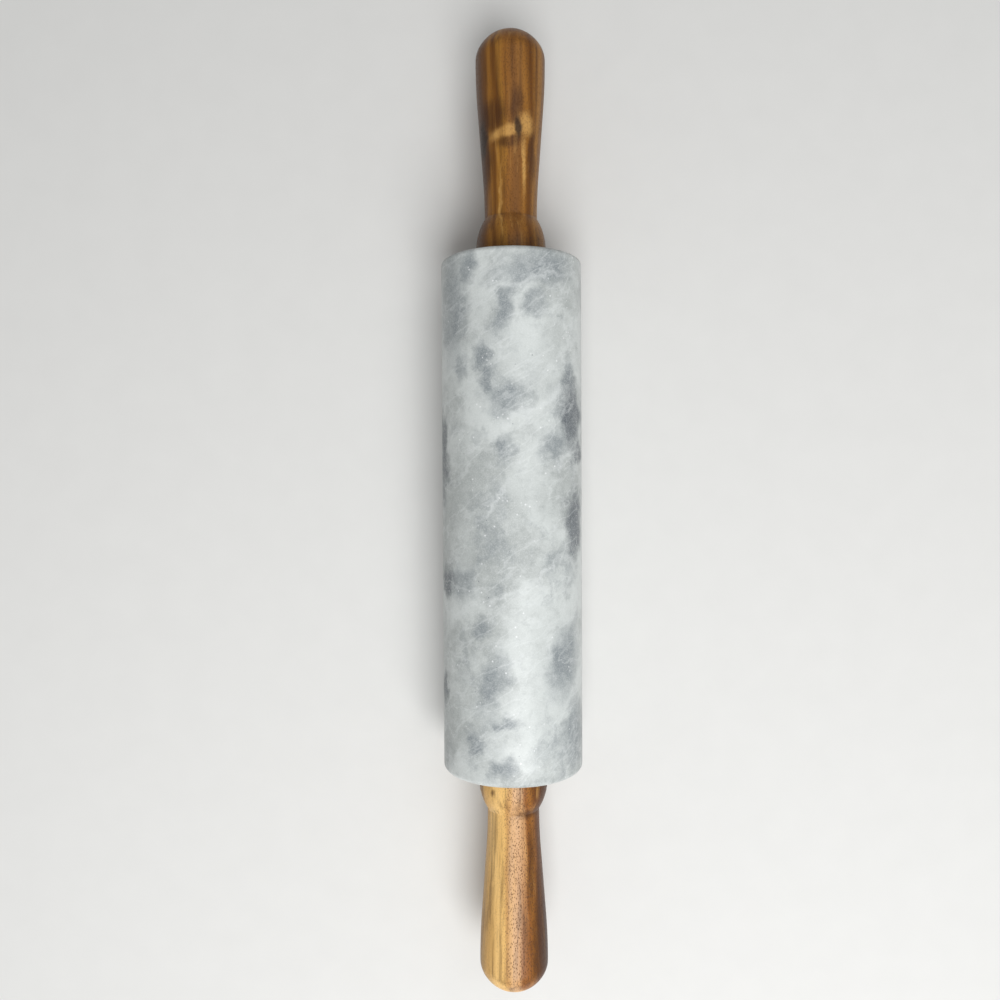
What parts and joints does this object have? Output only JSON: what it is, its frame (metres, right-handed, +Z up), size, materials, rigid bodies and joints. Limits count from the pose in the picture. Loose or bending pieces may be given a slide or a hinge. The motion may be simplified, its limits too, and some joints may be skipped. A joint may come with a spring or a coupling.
{
  "type": "marble rolling pin",
  "caption": "Rolling pin whose round marble barrel turns freely on a hidden steel rod between turned hardwood handles, for rolling pastry.",
  "frame": {"origin": "the middle of the barrel, on the axis that it turns about", "axes": "+Y along the pin's axis towards the far handle, +X across the pin to the right, +Z up"},
  "size_m": [0.0636, 0.4376, 0.0636],
  "materials": {
    "marble": "honed",
    "acacia": "oiled satin",
    "steel": "brushed",
    "brass": "machined",
    "nylon": "matte"
  },
  "bodies": {
    "handles": {"axle_rod": "steel", "near_insert": "brass", "far_insert": "brass", "near_thrust_washer": "steel", "far_thrust_washer": "steel", "near_handle": "acacia", "far_handle": "acacia"},
    "barrel": {"marble_barrel": "marble", "near_bushing": "nylon", "far_bushing": "nylon"}
  },
  "joints": [
    {"name": "barrel_spin", "type": "hinge", "parent": "handles", "child": "barrel", "pos_m": [0, 0, 0], "axis": [0, 1, 0], "continuous": true}
  ]
}
